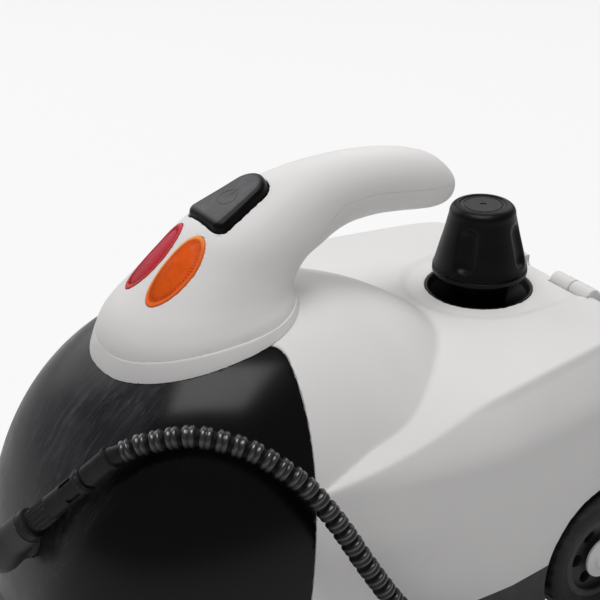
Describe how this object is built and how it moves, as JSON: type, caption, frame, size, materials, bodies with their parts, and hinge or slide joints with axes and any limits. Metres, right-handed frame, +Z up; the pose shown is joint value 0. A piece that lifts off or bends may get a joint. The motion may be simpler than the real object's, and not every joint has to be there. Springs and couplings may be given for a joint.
{
  "type": "wallpaper steamer",
  "caption": "Canister wallpaper steamer with a swan-neck handle, screw-down filler cap, push button, lamps, wheels, corrugated steam hose and steam gun in a rear holder.",
  "frame": {"origin": "floor level, under the middle of the machine's own box, without the free hose", "axes": "+Z up, -Y to the front where the hood and hose outlet are, +X to the side where the hose comes down"},
  "size_m": [0.2908, 0.6021, 0.27],
  "materials": {
    "white_plastic": "satin moulded plastic",
    "black_gloss": "polished smoky black plastic",
    "soft_black": "soft rubbery key",
    "cap_black": "fine satin heat-proof plastic",
    "hose_black": "corrugated rubber",
    "tie_black": "woven strap",
    "red_lens": "translucent moulded lens",
    "amber_lens": "translucent moulded lens",
    "board_green": "circuit board",
    "steel": "satin stainless",
    "brass": "turned brass",
    "seal_rubber": "dark silicone seal",
    "heater": "oxidised heater sheath",
    "ceramic": "glazed ceramic",
    "gun_black": "grained black plastic",
    "gun_grey": "satin grey plastic",
    "tyre_rubber": "matt tyre rubber",
    "charcoal_plastic": "grained dark plastic"
  },
  "bodies": {
    "root": {"base_tray": "charcoal_plastic", "rear_casing": "white_plastic", "front_hood": "black_gloss", "handle_collar": "white_plastic", "handle_upper": "white_plastic", "handle_lower": "white_plastic", "handle_screws": "steel", "power_switch": "charcoal_plastic", "red_lens": "red_lens", "amber_lens": "amber_lens", "lamp_board": "board_green", "filler_funnel": "cap_black", "boiler_lower": "steel", "boiler_upper": "steel", "boiler_gasket": "seal_rubber", "boiler_bolts": "steel", "boiler_neck": "brass", "boiler_legs": "steel", "heating_element": "heater", "thermostat": "ceramic", "thermal_fuse": "steel", "steam_pipe": "brass", "steam_valve": "brass", "hose_socket": "charcoal_plastic", "hose_elbow": "charcoal_plastic", "hose_cuff": "hose_black", "hose_sleeve": "hose_black", "steam_hose": "hose_black", "hose_coil": "hose_black", "hose_tail": "hose_black", "hose_tie": "tie_black", "gun_shell_rear": "gun_black", "gun_shell_front": "gun_black", "gun_trigger_pin": "steel", "gun_nozzle": "charcoal_plastic", "gun_valve": "brass", "gun_inlet": "charcoal_plastic", "gun_holder": "white_plastic", "cord_gland": "gun_black", "terminal_block": "ceramic", "rear_axle": "steel", "case_screws": "steel"},
    "cap_washer": {"cap_seal": "seal_rubber"},
    "safety_cap": {"cap_grip": "cap_black", "cap_core": "brass", "relief_valve": "steel"},
    "button": {"power_button": "soft_black"},
    "left_wheel": {"wheel_left": "charcoal_plastic", "tyre_left": "tyre_rubber", "hub_cap_left": "white_plastic"},
    "right_wheel": {"wheel_right": "charcoal_plastic", "tyre_right": "tyre_rubber", "hub_cap_right": "white_plastic"},
    "caster_arm": {"caster_fork": "steel", "caster_axle": "steel"},
    "caster_roller": {"caster_wheel": "tyre_rubber"},
    "trigger": {"gun_trigger": "gun_grey"}
  },
  "joints": [
    {"name": "cap_lift", "type": "slide", "parent": "root", "child": "cap_washer", "axis": [0, 0, 1], "range_m": [0, 0.02]},
    {"name": "cap_turn", "type": "hinge", "parent": "cap_washer", "child": "safety_cap", "pos_m": [0, 0.114, 0.165], "axis": [0, 0, 1], "range_deg": [0, 1801]},
    {"name": "button_press", "type": "slide", "parent": "root", "child": "button", "axis": [0, 0.3535, -0.9354], "range_m": [0, 0.0025], "stiffness_N_per_m": 600, "springref_m": -0.001},
    {"name": "left_wheel_roll", "type": "hinge", "parent": "root", "child": "left_wheel", "pos_m": [0.118, 0.112, 0.04], "axis": [1, 0, 0], "continuous": true},
    {"name": "right_wheel_roll", "type": "hinge", "parent": "root", "child": "right_wheel", "pos_m": [-0.118, 0.112, 0.04], "axis": [1, 0, 0], "continuous": true},
    {"name": "caster_swivel", "type": "hinge", "parent": "root", "child": "caster_arm", "pos_m": [0, -0.148, 0.045], "axis": [0, 0, 1], "continuous": true},
    {"name": "caster_roll", "type": "hinge", "parent": "caster_arm", "child": "caster_roller", "pos_m": [0, -0.136, 0.017], "axis": [1, 0, 0], "continuous": true},
    {"name": "trigger_pull", "type": "hinge", "parent": "root", "child": "trigger", "pos_m": [0.024, 0.2, 0.093], "axis": [0, -1, 0], "range_deg": [0, 12], "stiffness_Nm_per_rad": 0.05, "springref_deg": -5.73}
  ],
  "couplings": [
    {"joint": "cap_turn", "follows": "cap_lift", "rad_per_m": 1570.8}
  ]
}
